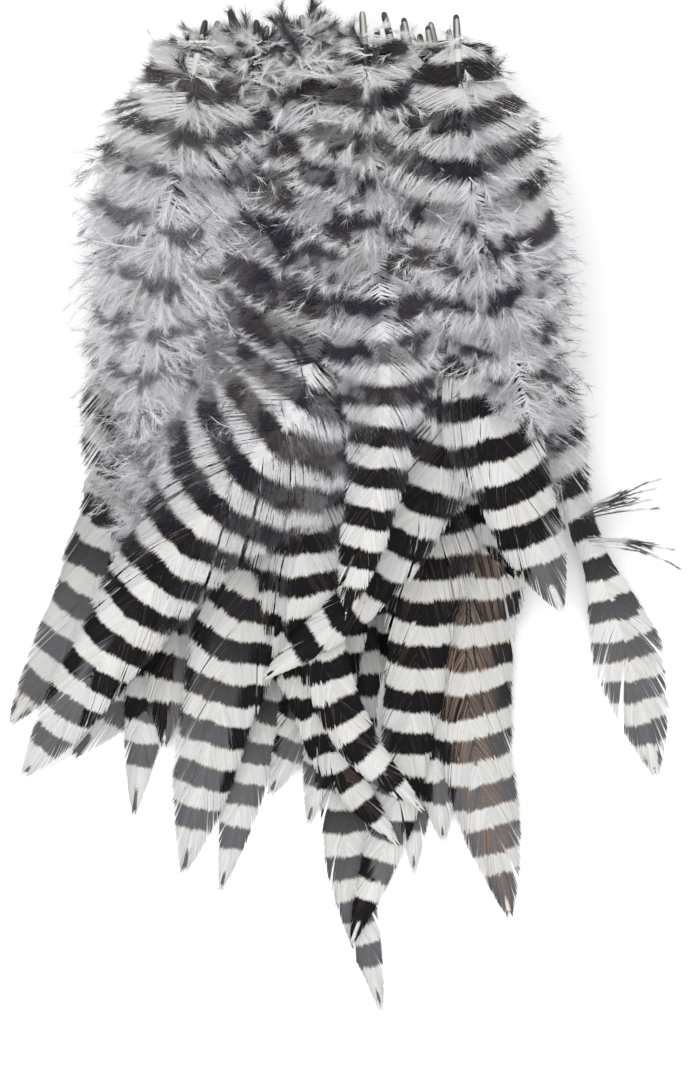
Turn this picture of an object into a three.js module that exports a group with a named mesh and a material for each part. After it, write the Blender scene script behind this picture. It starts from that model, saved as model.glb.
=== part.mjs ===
// A strung bunch of barred schlappen feathers, in millimetres.
// The bunch lies on its back on a surface, +Z up. The quills stand in a row at the +Y end and
// the tips fan out towards -Y. The origin is on the surface, under the middle of the bunch.
import * as THREE from "three";

// The shaft of a feather: a bare round quill, and behind it a shaft that thins to a hair.
const QUILL_RADIUS = 0.85;
const TIP_RADIUS = 0.15;
const QUILL_BARE = 7;
const QUILL_ROUNDING = 0.6;

// The web of a feather. These are the shares of its length where the row's widths are given:
// where the down starts, where it is full, where the open web ends, the neck, and the vane.
const WIDTH_SHARES = [0.07, 0.2, 0.5, 0.68, 0.84];
const DOWN_ENDS = 0.5;
const VANE_STARTS = 0.68;
const DOWN_THICKNESS = 1;
const VANE_THICKNESS = 0.45;

// The outline is notched into locks of down and split vanes, whose ends lean to the tip.
const LOCK_SHARES = [0.05, 0.1, 0.15, 0.2, 0.26, 0.32, 0.38, 0.44, 0.5, 0.57, 0.64, 0.7, 0.77, 0.84, 0.91, 0.96];
const LOCK_DEPTH = 0.25;
const LOCK_LEAN = 4;
const SPLIT_DEPTH = 0.12;
const SPLIT_LEAN = 2.5;

// How the feathers lie on one another: the gap between them, how sharply a shaft bends down
// again behind what lifts it, and the size of the squares in which heights are noted.
const CLEARANCE = 0.4;
const SHAFT_BEND = 0.006;
const SQUARE = 0.8;

// The thread that strings the quills, over one and under the next.
const THREAD_RADIUS = 0.3;
const THREAD_GAP = 0.4;
const THREAD_LINE_Y = 93.5;
const THREAD_SIDES = 5;
const THREAD_TAIL = 3;
const THREAD_REST = 1.3;
const THREAD_REACH = 3.5;

// The widths of the usual feathers, half of each, at the shares above.
const NARROW = [7, 14, 11, 6, 4.5];
const PLAIN = [7, 15, 13, 7.5, 6];
const BROAD = [7, 16, 15.5, 9.5, 6.8];
const SHORT = [8, 15, 13, 10, 7];
const NECKED = [7, 15, 8, 2.6, 7];

// One row for each feather, in three folds of the strip, the lowest feather first.
// quill and tip are the ends of its shaft, and through is where the shaft passes on the way.
const FOLDS = [
  [
    { quill: [-1.5, 97.5], through: [[2, 43], [2, -7], [-1, -62]], tip: [6.4, -100.8], half: NARROW },
    { quill: [-28, 99.2], through: [[-37, 53], [-45, 7], [-58, -25]], tip: [-69.2, -42.4], half: PLAIN },
    { quill: [20, 98.8], through: [[25, 60], [33, 27]], tip: [39, -8], half: SHORT },
    { quill: [-24, 97.5], through: [[-34, 43], [-37, 7], [-45, -33]], tip: [-56.2, -49], half: BROAD },
    { quill: [3, 96.5], through: [[10, 43], [11, -7], [13, -50]], tip: [13, -72.8], half: NARROW },
    { quill: [-19, 98], through: [[-33, 53], [-37, 0], [-41, -35]], tip: [-44, -60.8], half: NARROW },
    { quill: [-14, 96.4], through: [[-22, 43], [-31, -7], [-36.5, -32]], tip: [-37.8, -47], half: PLAIN },
    { quill: [-9, 97], through: [[-5, 43], [-7, -7], [-17, -37]], tip: [-26.4, -76.2], half: NARROW },
    { quill: [8, 97], through: [[13, 43], [14.5, -7], [16.4, -41]], tip: [19, -66.2], half: PLAIN },
    { quill: [14, 97], through: [[20, 47], [24, 7], [24, -37]], tip: [32.6, -81.8], half: BROAD },
  ],
  [
    { quill: [21.2, 100.4], through: [[23, 68], [34, 30], [55.6, -25]], tip: [62.4, -53.2], half: NECKED },
    { quill: [-26.5, 99.5], through: [[-34, 66], [-37, 25]], tip: [-43, -12], half: SHORT },
    { quill: [10.5, 98.5], through: [[17, 43], [16, 3], [10, -55]], tip: [0.2, -87.4], half: NARROW },
    { quill: [-6.5, 97], through: [[-9, 43], [-3, -2], [-8, -37]], tip: [-16.4, -56.8], half: PLAIN },
    { quill: [5.5, 97.5], through: [[1, 43], [0, -2], [-4, -37]], tip: [-8.4, -62.8], half: NARROW },
    { quill: [-11.5, 98.5], through: [[-8, 53], [-11, 13], [-25, -33]], tip: [-34, -72.8], half: BROAD },
    { quill: [0.5, 97], through: [[-5, 43], [-12, -12], [-3, -49]], tip: [10, -67], half: NARROW },
    { quill: [16, 98.5], through: [[25, 53], [27, 20]], tip: [33.6, -12.8], half: SHORT },
    { quill: [-21.5, 97], through: [[-27, 53], [-33, 17]], tip: [-41, -21], half: SHORT },
    { quill: [-16.5, 97.5], through: [[-22, 63], [-24, 27]], tip: [-31, -12], half: SHORT },
  ],
  [
    { quill: [15.4, 97.4], through: [[21, 66], [31, 33]], tip: [40, 1], half: SHORT },
    { quill: [-23.8, 100.4], through: [[-20, 77], [-25, 45]], tip: [-38, 3], half: SHORT },
    { quill: [-3.5, 97.8], through: [[-2, 53], [-9, -7], [0, -43]], tip: [15, -59.8], half: NARROW },
    { quill: [-18.5, 98], through: [[-17, 63], [-16, 33]], tip: [-20, -7], half: SHORT },
    { quill: [10.6, 98.8], through: [[19, 53], [20, 17], [4, -14]], tip: [-17.6, -32.8], half: NARROW },
    { quill: [6.6, 99.6], through: [[11, 83], [20, 50], [26, 23]], tip: [42.4, -19.2], half: BROAD },
    { quill: [-9.6, 99], through: [[-5, 57], [-9, 25], [-32, -4]], tip: [-66.4, -53], half: BROAD },
    { quill: [2.4, 99.6], through: [[5, 57], [6.5, 17]], tip: [-1, -20.8], half: NARROW },
    { quill: [21, 98], through: [[22, 77], [27, 50]], tip: [37, 16], half: SHORT },
    { quill: [-28.5, 98], through: [[-33, 77], [-37.5, 50]], tip: [-42, 15], half: SHORT },
  ],
];

// The middle of the whole bunch, in the rows' own coordinates.
const MIDDLE_X = -2.3;

const { lerp: mix, smoothstep, clamp } = THREE.MathUtils;
const FEATHER_SIDES = 8;

// The line of a feather's shaft, seen from above.
function centreLine({ quill, through, tip }) {
  const points = [quill, ...through, tip].map(([x, y]) => new THREE.Vector3(x - MIDDLE_X, y, 0));
  const curve = new THREE.CatmullRomCurve3(points, false, "centripetal");
  curve.arcLengthDivisions = 300;
  return curve;
}

// Half the width of the web at a share of the feather's length, without its notches.
function halfWidth(share, half) {
  const last = WIDTH_SHARES.length - 1;
  if (share >= WIDTH_SHARES[last]) {
    const toTip = (share - WIDTH_SHARES[last]) / (1 - WIDTH_SHARES[last]);
    return half[last] * Math.max(0, 1 - toTip ** 1.5) ** 0.8;
  }
  const next = Math.max(1, WIDTH_SHARES.findIndex((known) => share < known));
  const along = smoothstep(share, WIDTH_SHARES[next - 1], WIDTH_SHARES[next]);
  return mix(half[next - 1], half[next], along);
}

// One section across a feather: a place on the shaft, and eight points round it, each with
// its distance across, its lean towards the tip and its height above the lowest point.
function quillSection(distance, radius) {
  const points = [];
  for (let k = 0; k < FEATHER_SIDES; k++) {
    const angle = (k / FEATHER_SIDES) * 2 * Math.PI;
    points.push([radius * Math.cos(angle), 0, radius + radius * Math.sin(angle)]);
  }
  return { distance, points };
}

function webSection(distance, share, half, isLock) {
  const toVane = smoothstep(share, DOWN_ENDS, VANE_STARTS);
  const notch = isLock ? 1 : 1 - mix(LOCK_DEPTH, SPLIT_DEPTH, toVane);
  const edge = halfWidth(share, half) * notch;
  const slender = clamp(edge / 4, 0.15, 1);
  const lean = isLock ? mix(LOCK_LEAN, SPLIT_LEAN, toVane) * slender : 0;
  const shaft = mix(QUILL_RADIUS, TIP_RADIUS, Math.sqrt(share));
  const web = Math.min(mix(DOWN_THICKNESS, VANE_THICKNESS, toVane), edge * 0.3);
  const shoulder = Math.min(shaft * 1.25, edge * 0.5);
  const ridge = Math.max(2 * shaft, web + 0.05);
  const points = [
    [edge, lean, 0],
    [shoulder, 0, web],
    [0, 0, ridge],
    [-shoulder, 0, web],
    [-edge, lean, 0],
    [-shoulder, 0, 0],
    [0, 0, 0],
    [shoulder, 0, 0],
  ];
  return { distance, points };
}

// All sections of a feather from quill to tip, laid along its line but not yet lifted.
function layOut(feather) {
  const curve = centreLine(feather);
  const length = curve.getLength();
  const sections = [
    quillSection(0.4, QUILL_RADIUS - QUILL_ROUNDING),
    quillSection(1.2, QUILL_RADIUS),
    quillSection(QUILL_BARE, QUILL_RADIUS),
  ];
  LOCK_SHARES.forEach((share, k) => {
    const distance = QUILL_BARE + share * (length - QUILL_BARE);
    sections.push(webSection(distance, share, feather.half, k % 2 === 1));
  });
  for (const section of sections) {
    const at = section.distance / length;
    const middle = curve.getPointAt(at);
    const along = curve.getTangentAt(at);
    section.ring = section.points.map(([across, lean, up]) => ({
      x: middle.x - along.y * across + along.x * lean,
      y: middle.y + along.x * across + along.y * lean,
      up,
    }));
    section.lift = 0;
    section.y = middle.y;
  }
  return { feather, sections, start: curve.getPointAt(0), end: curve.getPointAt(1) };
}

// The highest point noted so far in each square of the surface.
const heights = new Map();

function squareKey(x, y) {
  return `${Math.round(x / SQUARE)},${Math.round(y / SQUARE)}`;
}

function heightAt(x, y) {
  return heights.get(squareKey(x, y)) ?? -CLEARANCE;
}

function noteHeight(x, y, z) {
  for (const dx of [-SQUARE, 0, SQUARE]) {
    for (const dy of [-SQUARE, 0, SQUARE]) {
      const key = squareKey(x + dx, y + dy);
      heights.set(key, Math.max(z, heights.get(key) ?? -CLEARANCE));
    }
  }
}

// Visits the upper skin of a feather in small steps: its place, its height over the lift of
// the shaft, the section it follows and how far it is towards the next one.
function walkSkin({ sections }, visit) {
  const upper = [0, 1, 2, 3, 4];
  for (let k = 0; k + 1 < sections.length; k++) {
    const [here, next] = [sections[k], sections[k + 1]];
    const rows = Math.ceil((next.distance - here.distance + LOCK_LEAN) / (SQUARE * 0.7));
    for (let row = 0; row <= rows; row++) {
      const v = row / rows;
      for (const side of upper.slice(0, -1)) {
        const a = blendPoint(here.ring[side], next.ring[side], v);
        const b = blendPoint(here.ring[side + 1], next.ring[side + 1], v);
        const columns = Math.max(1, Math.ceil(Math.hypot(b.x - a.x, b.y - a.y) / (SQUARE * 0.7)));
        for (let column = 0; column <= columns; column++) {
          visit(blendPoint(a, b, column / columns), k, v);
        }
      }
    }
  }
}

function blendPoint(a, b, v) {
  return { x: mix(a.x, b.x, v), y: mix(a.y, b.y, v), up: mix(a.up, b.up, v) };
}

// Lowers a feather onto what lies there: its shaft bends no more sharply than SHAFT_BEND.
function settle(laid) {
  const { sections } = laid;
  const supports = [];
  walkSkin(laid, (point, k, v) => {
    const distance = mix(sections[k].distance, sections[k + 1].distance, v);
    supports.push({ distance, k, v, floor: heightAt(point.x, point.y) + CLEARANCE });
  });
  for (const support of supports) {
    const y = mix(sections[support.k].y, sections[support.k + 1].y, support.v);
    if (Math.abs(y - THREAD_LINE_Y) < THREAD_REST) support.floor = Math.max(support.floor, stripFloor(laid));
  }
  for (const section of sections) {
    for (const { distance, floor } of supports) {
      section.lift = Math.max(section.lift, floor - SHAFT_BEND * (distance - section.distance) ** 2);
    }
  }
  for (const { k, v, floor } of supports) {
    const missing = floor - mix(sections[k].lift, sections[k + 1].lift, v);
    if (missing <= 0) continue;
    sections[k].lift += missing;
    sections[k + 1].lift += missing;
  }
}

// The least height of a quill where the thread passes: over all that lies within the thread's
// reach to both sides, with room for the thread below it.
function stripFloor({ start }) {
  let highest = 0;
  for (let across = -THREAD_REACH; across <= THREAD_REACH; across += SQUARE) {
    highest = Math.max(highest, heightAt(start.x + across, THREAD_LINE_Y));
  }
  return highest + THREAD_GAP + 2 * THREAD_RADIUS + THREAD_GAP;
}

function noteFeather(laid) {
  const { sections } = laid;
  walkSkin(laid, (point, k, v) => {
    noteHeight(point.x, point.y, mix(sections[k].lift, sections[k + 1].lift, v) + point.up);
  });
}

// Where the thread's line crosses a quill: the quill's middle.
function crossing({ sections }) {
  const [from, to] = [sections[1], sections[2]];
  const v = clamp((THREAD_LINE_Y - from.y) / (to.y - from.y), 0, 1);
  return new THREE.Vector3(
    mix(from.ring[2].x, to.ring[2].x, v),
    THREAD_LINE_Y,
    mix(from.lift, to.lift, v) + QUILL_RADIUS,
  );
}

// The thread's way through one fold of the strip, over one quill and under the next.
function threadRun(fold, leftToRight) {
  const quills = fold.map(crossing).sort((a, b) => (leftToRight ? a.x - b.x : b.x - a.x));
  const onward = leftToRight ? 1 : -1;
  const offset = QUILL_RADIUS + THREAD_GAP + THREAD_RADIUS;
  const points = [];
  quills.forEach((quill, k) => {
    const z = quill.z + (k % 2 === 0 ? offset : -offset);
    points.push(new THREE.Vector3(quill.x - onward * THREAD_REST, THREAD_LINE_Y, z));
    points.push(new THREE.Vector3(quill.x + onward * THREAD_REST, THREAD_LINE_Y, z));
  });
  const tail = new THREE.Vector3(onward * THREAD_TAIL, 0, 0);
  points.unshift(points[0].clone().sub(tail));
  points.push(points[points.length - 1].clone().add(tail));
  return points;
}

function noteThread(points) {
  for (let k = 0; k + 1 < points.length; k++) {
    const top = Math.max(points[k].z, points[k + 1].z) + THREAD_RADIUS;
    const steps = Math.ceil(points[k].distanceTo(points[k + 1]) / SQUARE);
    for (let step = 0; step <= steps; step++) {
      noteHeight(mix(points[k].x, points[k + 1].x, step / steps), THREAD_LINE_Y, top);
    }
  }
}

// A closed body from rings of points, with a point at each end.
function loft(rings, start, end) {
  const sides = rings[0].length;
  const vertices = [start, ...rings.flat(), end];
  const lastVertex = vertices.length - 1;
  const faces = [];
  for (let side = 0; side < sides; side++) {
    const next = (side + 1) % sides;
    faces.push([0, 1 + next, 1 + side]);
    for (let k = 0; k + 1 < rings.length; k++) {
      const [a, b] = [1 + k * sides + side, 1 + k * sides + next];
      faces.push([a, b, b + sides], [a, b + sides, a + sides]);
    }
    const lastRing = lastVertex - sides;
    faces.push([lastRing + side, lastRing + next, lastVertex]);
  }
  const geometry = new THREE.BufferGeometry();
  geometry.setAttribute("position", new THREE.Float32BufferAttribute(vertices.flat(), 3));
  geometry.setIndex(signedVolume(vertices, faces) > 0 ? faces.flat() : faces.map((f) => f.reverse()).flat());
  geometry.computeVertexNormals();
  return geometry;
}

function signedVolume(vertices, faces) {
  const [a, b, c] = [new THREE.Vector3(), new THREE.Vector3(), new THREE.Vector3()];
  return faces.reduce((total, [i, j, k]) => {
    a.fromArray(vertices[i]);
    b.fromArray(vertices[j]);
    c.fromArray(vertices[k]);
    return total + a.dot(b.cross(c)) / 6;
  }, 0);
}

function featherGeometry({ sections, start, end }) {
  const rings = sections.map(({ ring, lift }) => ring.map(({ x, y, up }) => [x, y, lift + up]));
  const firstLift = sections[0].lift + QUILL_RADIUS;
  const lastLift = sections[sections.length - 1].lift;
  return loft(rings, [start.x, start.y, firstLift], [end.x, end.y, lastLift + TIP_RADIUS]);
}

// A round thread through the given points, its sections turned halfway between its stretches.
function threadGeometry(points) {
  const rings = points.map((point, k) => {
    const before = points[Math.max(0, k - 1)];
    const after = points[Math.min(points.length - 1, k + 1)];
    const along = after.clone().sub(before).normalize();
    const up = new THREE.Vector3(-along.z, 0, along.x);
    const ring = [];
    for (let side = 0; side < THREAD_SIDES; side++) {
      const angle = (side / THREAD_SIDES) * 2 * Math.PI;
      const place = point.clone().addScaledVector(up, THREAD_RADIUS * Math.cos(angle));
      place.y += THREAD_RADIUS * Math.sin(angle);
      ring.push(place.toArray());
    }
    return ring;
  });
  const [first, last] = [points[0], points[points.length - 1]];
  const tuft = THREAD_RADIUS * Math.sign(points[1].x - first.x);
  const lastTuft = THREAD_RADIUS * Math.sign(last.x - points[points.length - 2].x);
  return loft(rings, [first.x - tuft, first.y, first.z], [last.x + lastTuft, last.y, last.z]);
}

const BARRED_WEB = { color: 0x8d8a90, roughness: 0.85, metalness: 0 };
const COTTON = { color: 0xe9e6df, roughness: 0.9, metalness: 0 };

function addPiece(group, name, geometry, finish) {
  const mesh = new THREE.Mesh(geometry, new THREE.MeshStandardMaterial({ ...finish, side: THREE.DoubleSide }));
  mesh.name = name;
  group.add(mesh);
}

const bunch = new THREE.Group();
const threadPoints = [];
let count = 0;
FOLDS.forEach((fold, k) => {
  const laidFold = fold.map((feather) => {
    const laid = layOut(feather);
    settle(laid);
    noteFeather(laid);
    count += 1;
    addPiece(bunch, `feather_${String(count).padStart(2, "0")}`, featherGeometry(laid), BARRED_WEB);
    return laid;
  });
  const run = threadRun(laidFold, k % 2 === 0);
  noteThread(run);
  threadPoints.push(...run);
});
addPiece(bunch, "stringing_thread", threadGeometry(threadPoints), COTTON);

export default bunch;
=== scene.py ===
"""A strung bunch of barred schlappen feathers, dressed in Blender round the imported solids.

Sizes in the rows below are in millimetres, as they were measured, and repeat the solids' own.
Every feather is one mesh: a shaft, the barbs of its web, and in the down the barbules on them.
"""

import bpy
import math
import numpy as np
from collections import namedtuple
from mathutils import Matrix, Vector
from mathutils.bvhtree import BVHTree


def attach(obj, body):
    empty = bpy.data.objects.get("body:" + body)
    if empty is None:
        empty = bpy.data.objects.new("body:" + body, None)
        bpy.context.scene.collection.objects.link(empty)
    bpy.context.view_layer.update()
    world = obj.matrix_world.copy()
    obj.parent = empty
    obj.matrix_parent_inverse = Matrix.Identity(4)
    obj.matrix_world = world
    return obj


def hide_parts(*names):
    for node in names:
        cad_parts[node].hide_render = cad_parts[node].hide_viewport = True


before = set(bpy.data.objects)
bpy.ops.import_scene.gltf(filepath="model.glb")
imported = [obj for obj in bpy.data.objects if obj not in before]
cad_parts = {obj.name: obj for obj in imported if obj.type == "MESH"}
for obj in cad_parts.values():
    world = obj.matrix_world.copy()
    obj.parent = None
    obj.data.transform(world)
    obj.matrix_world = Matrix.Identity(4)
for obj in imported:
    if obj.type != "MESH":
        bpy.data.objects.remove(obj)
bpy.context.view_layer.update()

MM = 0.001
SEED = 2718

# The photograph: its frame, its scale at the bunch, and where its middle is on the bunch.
PHOTO_HEIGHT = 1065
MM_PER_PIXEL = 0.2
MIDDLE_X = -2.3
LOOK_AT = (-MIDDLE_X, -3.3, 15.0)
LENS = 150.0
SENSOR = 36.0
NEAREST = 0.01
FARTHEST = 20.0

# The studio, in metres: a pale floor, one round light above and white light from all sides.
FLOOR_HALF = 6
KEY_PLACE = (-0.3, 0.5, 1.4)
KEY_SIZE = 1.2
KEY_POWER = 7.5
WORLD_STRENGTH = 1.2

# The shaft and the web, as in the solids, but with a finer end to the shaft.
QUILL_RADIUS = 0.85
TIP_RADIUS = 0.06
QUILL_BARE = 7.0
WIDTH_SHARES = (0.07, 0.2, 0.5, 0.68, 0.84)
NARROW = (7, 14, 11, 6, 4.5)
PLAIN = (7, 15, 13, 7.5, 6)
BROAD = (7, 16, 15.5, 9.5, 6.8)
SHORT = (8, 15, 13, 10, 7)
NECKED = (7, 15, 8, 2.6, 7)
LAST_SHARE = 0.995
SLEEK_SPAN = (18, 50)
BAR_BOW = 0.024

# A feather that is down to its tip has this for the length of its smooth web.
DOWNY = -50.0

# The thread through the quills, and the two plies that it is twisted from.
THREAD_RADIUS = 0.3
THREAD_GAP = 0.4
THREAD_LINE_Y = 93.5
THREAD_TAIL = 3.0
THREAD_REST = 1.3
PLY_TURN = 2.2
PLY_STEP = 0.3
PLY_SIDES = 5
PLY_OVERLAP = 1.1

# How finely the shafts are followed, and the webs laid to see what they cover.
LINE_STEPS = 40
LINE_POINTS = 240
LINE_SMOOTHING = 6
WEB_ROWS = 600
WEB_COLUMNS = 81

# The shaft's rings. The first ones round the quill's end, with these shares of its radius.
SHAFT_SIDES = 8
SHAFT_RINGS = 90
END_RINGS = (0.0, 0.15, 0.5, 1.2, 1.8)
END_SHARES = (0.05, 0.55, 0.85, 0.97)
END_LENGTH = 2.5
LAST_RADIUS = 0.02
SUNK_SHARE = 0.4

# The quill's end is dark horn or clear horn: their phases, and how long and how often it is dark.
DARK_END = 0.0
CLEAR = 0.5
DARK_END_LENGTH = 4.5
DARK_END_CHANCE = 0.7

# The barbs: where the first and the last are, as shares of the bare quill and of the length,
# their steps along the shaft, their widths, and how they lie.
FIRST_BARB = 0.7
LAST_BARB = 0.988
VANE_STEP = 0.26
DOWN_STEP = 0.5
VANE_BARB_WIDTH = 0.3
DOWN_BARB_WIDTH = 0.11
DOWN_BARB_ROOT = 0.38
BARB_POINTS = 6
BARB_TILT = 0.035
BARB_LIFT = 0.15
LEAST_LIFT = 0.05
FLOOR_GAP = 0.05

# The barbs' angles to the shaft in degrees, and how many hold together in a clump.
VANE_LEAN = 24
DOWN_LEAN = 61
TIP_LEAN = 6
FLARE_LENGTH = 16
VANE_CLUMP = 22
DOWN_CLUMP = 6
LOOSE_CHANCE = 0.012

# Loose barbs over the shaft. HAIRS and WIDTH here and below are shares of what the web has.
COVER_STEP = 0.7
COVER_REACH = (7, 15)
COVER_HAIRS = 1.3
LOOSE_WIDTH = 0.7

# Tufts round the quills: how many at the far left, left of the middle and at the right.
TUFT_COUNTS = (11, 56, 3)
TUFT_SHORT = 5.5
TUFT_LONG = 8.5
TUFT_CUT = 2.2
TUFT_RISE = (1.2, 3.8)
TUFT_LIFT = 2.6
TUFT_HAIRS = 2.0

# The two locks at a neck, with their angles to the shaft in radians.
LOCK_GAP = 6.0
LOCK_ANGLES = (1.12, 1.5)
LOCK_REACH = (9, 19)
LOCK_RISE = (0.5, 2.5)
LOCK_HAIRS = 1.2

# Stray barbs beyond the down, with their angles to the shaft in radians.
STRAY_STEP = 1.4
STRAY_BEYOND = (0.5, 5.5)
STRAY_ANGLES = (0.8, 2.2)
STRAY_LENGTH = 14
STRAY_WIDTH = 0.8
STRAY_HAIRS = 0.4

# The barbules of the down.
BARBULE_STEP = 0.17
BARBULE_LENGTH = 2.5
BARBULE_WIDTH = 0.085

# Painted backlight: how pale the dark bars are painted where light would come through them: at a
# free tip, further up, and at the ends of the down.
TIP_BACKLIGHT = 0.85
WEB_BACKLIGHT = 0.08
DOWN_BACKLIGHT = 0.35
BACKLIGHT_SPAN = (20, 52)

# Half the width that the map for the bake has room for.
UV_WIDTH = 24.0

# The places of the materials in a piece's list.
WEB = 0
HORN = 1
COTTON = 0


def row(quill, through, tip, half, first, period, growth=0.08, rust=0.15, vane=44.0, shown=4.0,
        fringe=50.0, dusk=0.0, fade=0.7, sleek=0.25, flare=28.0, wisps=(0.0, 0)):
    """One feather: its shaft from above and its half widths. first is how far the middle of the
    last dark bar is from the tip, period a dark and a light bar together, growth how much longer
    that gets up to the quill, rust how brown the bars are, vane the length of smooth web at the
    tip, shown how much of the shaft the down leaves bare behind the quill, fringe the length over
    which the web turns to down, dusk how much broader the dark bars of the down are, fade how
    faded they are in patches, sleek how smooth the down is behind the quill, flare how much
    wider its first barbs stand, and wisps how far from the tip loose barbs are and how many."""
    points = [quill, *through, tip]
    return {
        "points": [(x - MIDDLE_X, y) for x, y in points],
        "half": half,
        "first": first,
        "period": period,
        "growth": growth,
        "rust": rust,
        "vane": vane,
        "shown": shown,
        "fringe": fringe,
        "dusk": dusk,
        "fade": fade,
        "sleek": sleek,
        "flare": flare,
        "wisps": wisps,
    }


# The strip's three folds, the lowest first, and in them feather_01 to feather_30 in turn.
FOLDS = [
    [
        row((-1.5, 97.5), [(2, 43), (2, -7), (-1, -62)], (6.4, -100.8), NARROW, 2.5, 9.1,
            vane=90.0),
        row((-28, 99.2), [(-37, 53), (-45, 7), (-58, -25)], (-69.2, -42.4), PLAIN, -0.4, 9.4,
            vane=62.0),
        row((20, 98.8), [(25, 60), (33, 27)], (39, -8), SHORT, 3.0, 9.0, vane=DOWNY),
        row((-24, 97.5), [(-34, 43), (-37, 7), (-45, -33)], (-56.2, -49), BROAD, 3.3, 8.8,
            vane=64.0),
        row((3, 96.5), [(10, 43), (11, -7), (13, -50)], (13, -72.8), NARROW, 2.0, 8.7, vane=75.0),
        row((-19, 98), [(-33, 53), (-37, 0), (-41, -35)], (-44, -60.8), NARROW, 3.0, 9.2,
            vane=66.0),
        row((-14, 96.4), [(-22, 43), (-31, -7), (-36.5, -32)], (-37.8, -47), PLAIN, 6.4, 9.8,
            vane=56.0),
        row((-9, 97), [(-5, 43), (-7, -7), (-17, -37)], (-26.4, -76.2), NARROW, 2.2, 8.8,
            vane=80.0),
        row((8, 97), [(13, 43), (14.5, -7), (16.4, -41)], (19, -66.2), PLAIN, 1.5, 8.4, vane=75.0),
        row((14, 97), [(20, 47), (24, 7), (24, -37)], (32.6, -81.8), BROAD, 6.9, 9.2, rust=0.9,
            vane=100.0),
    ],
    [
        row((21.2, 100.4), [(23, 68), (34, 30), (55.6, -25)], (62.4, -53.2), NECKED, 0.7, 8.6,
            vane=56.0, wisps=(56.0, 22)),
        row((-26.5, 99.5), [(-34, 66), (-37, 25)], (-43, -12), SHORT, 4.0, 9.0, vane=DOWNY,
            dusk=-0.12, fade=1.0),
        row((10.5, 98.5), [(17, 43), (16, 3), (10, -55)], (0.2, -87.4), NARROW, -1.2, 8.7,
            vane=85.0),
        row((-6.5, 97), [(-9, 43), (-3, -2), (-8, -37)], (-16.4, -56.8), PLAIN, 2.0, 8.0,
            rust=0.4, vane=66.0),
        row((5.5, 97.5), [(1, 43), (0, -2), (-4, -37)], (-8.4, -62.8), NARROW, 2.2, 7.8,
            vane=66.0),
        row((-11.5, 98.5), [(-8, 53), (-11, 13), (-25, -33)], (-34, -72.8), BROAD, 2.8, 8.7,
            vane=85.0),
        row((0.5, 97), [(-5, 43), (-12, -12), (-3, -49)], (10, -67), NARROW, 1.0, 8.2, rust=0.4,
            vane=66.0),
        row((16, 98.5), [(25, 53), (27, 20)], (33.6, -12.8), SHORT, 5.0, 9.0, vane=34.0),
        row((-21.5, 97), [(-27, 53), (-33, 17)], (-41, -21), SHORT, 2.5, 9.4, vane=DOWNY,
            dusk=-0.12, fade=1.0),
        row((-16.5, 97.5), [(-22, 63), (-24, 27)], (-31, -12), SHORT, 6.0, 8.6, vane=DOWNY),
    ],
    [
        row((15.4, 97.4), [(21, 66), (31, 33)], (40, 1), SHORT, 4.2, 8.4, vane=DOWNY),
        row((-23.8, 100.4), [(-20, 77), (-25, 45)], (-38, 3), SHORT, 5.5, 10.0, vane=DOWNY,
            shown=24.0, dusk=-0.06, fade=1.0, sleek=0.6, flare=20.0),
        row((-3.5, 97.8), [(-2, 53), (-9, -7), (0, -43)], (15, -59.8), NARROW, 1.1, 8.5, rust=0.3,
            vane=56.0, dusk=0.3, fade=0.4),
        row((-18.5, 98), [(-17, 63), (-16, 33)], (-20, -7), SHORT, 7.5, 9.3, vane=DOWNY,
            dusk=0.34, fade=0.35),
        row((10.6, 98.8), [(19, 53), (20, 17), (4, -14)], (-17.6, -32.8), NARROW, 1.5, 9.3,
            vane=52.0, flare=20.0),
        row((6.6, 99.6), [(11, 83), (20, 50), (26, 23)], (42.4, -19.2), BROAD, -0.8, 8.8,
            vane=48.0, shown=30.0, dusk=0.12, fade=0.9, sleek=0.75, flare=0.0),
        row((-9.6, 99), [(-5, 57), (-9, 25), (-32, -4)], (-66.4, -53), BROAD, 1.7, 7.5,
            growth=0.5, vane=54.0, fringe=76.0, dusk=0.32, fade=0.35),
        row((2.4, 99.6), [(5, 57), (6.5, 17)], (-1, -20.8), NARROW, 4.6, 8.0, vane=26.0, dusk=0.2),
        row((21, 98), [(22, 77), (27, 50)], (37, 16), SHORT, 0.8, 8.7, vane=DOWNY, sleek=0.6,
            flare=15.0),
        row((-28.5, 98), [(-33, 77), (-37.5, 50)], (-42, 15), SHORT, 3.4, 9.2, vane=DOWNY,
            dusk=-0.1, fade=1.0),
    ],
]


# Small helpers


def mix(a, b, share):
    return a + (b - a) * share


def smooth(x, low, high):
    share = np.clip((x - low) / (high - low), 0, 1)
    return share * share * (3 - 2 * share)


def lengths_along(line):
    """How far each point of a line is from its start, along the line."""
    return np.concatenate([[0], np.cumsum(np.linalg.norm(np.diff(line, axis=0), axis=1))])


def tube_faces(rings, sides):
    """Quads of a tube whose vertices are stored ring after ring."""
    ring = np.arange(rings - 1)[:, None] * sides
    side = np.arange(sides)[None, :]
    after = (side + 1) % sides
    corners = [ring + side, ring + after, ring + sides + after, ring + sides + side]
    return np.stack(corners, axis=-1).reshape(-1, 4)


def half_width(share, half):
    """Half the width of the web at shares of the feather's length, as in the solids."""
    share = np.asarray(share, float)
    width = np.full(share.shape, float(half[0]))
    for k in range(len(WIDTH_SHARES) - 1):
        low, high = WIDTH_SHARES[k], WIDTH_SHARES[k + 1]
        inside = (share >= low) & (share < high)
        width = np.where(inside, mix(half[k], half[k + 1], smooth(share, low, high)), width)
    last = WIDTH_SHARES[-1]
    to_tip = np.clip((share - last) / (1 - last), 0, 1)
    return np.where(share >= last, half[-1] * (1 - to_tip**1.5) ** 0.8, width)


# The line of a shaft


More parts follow.
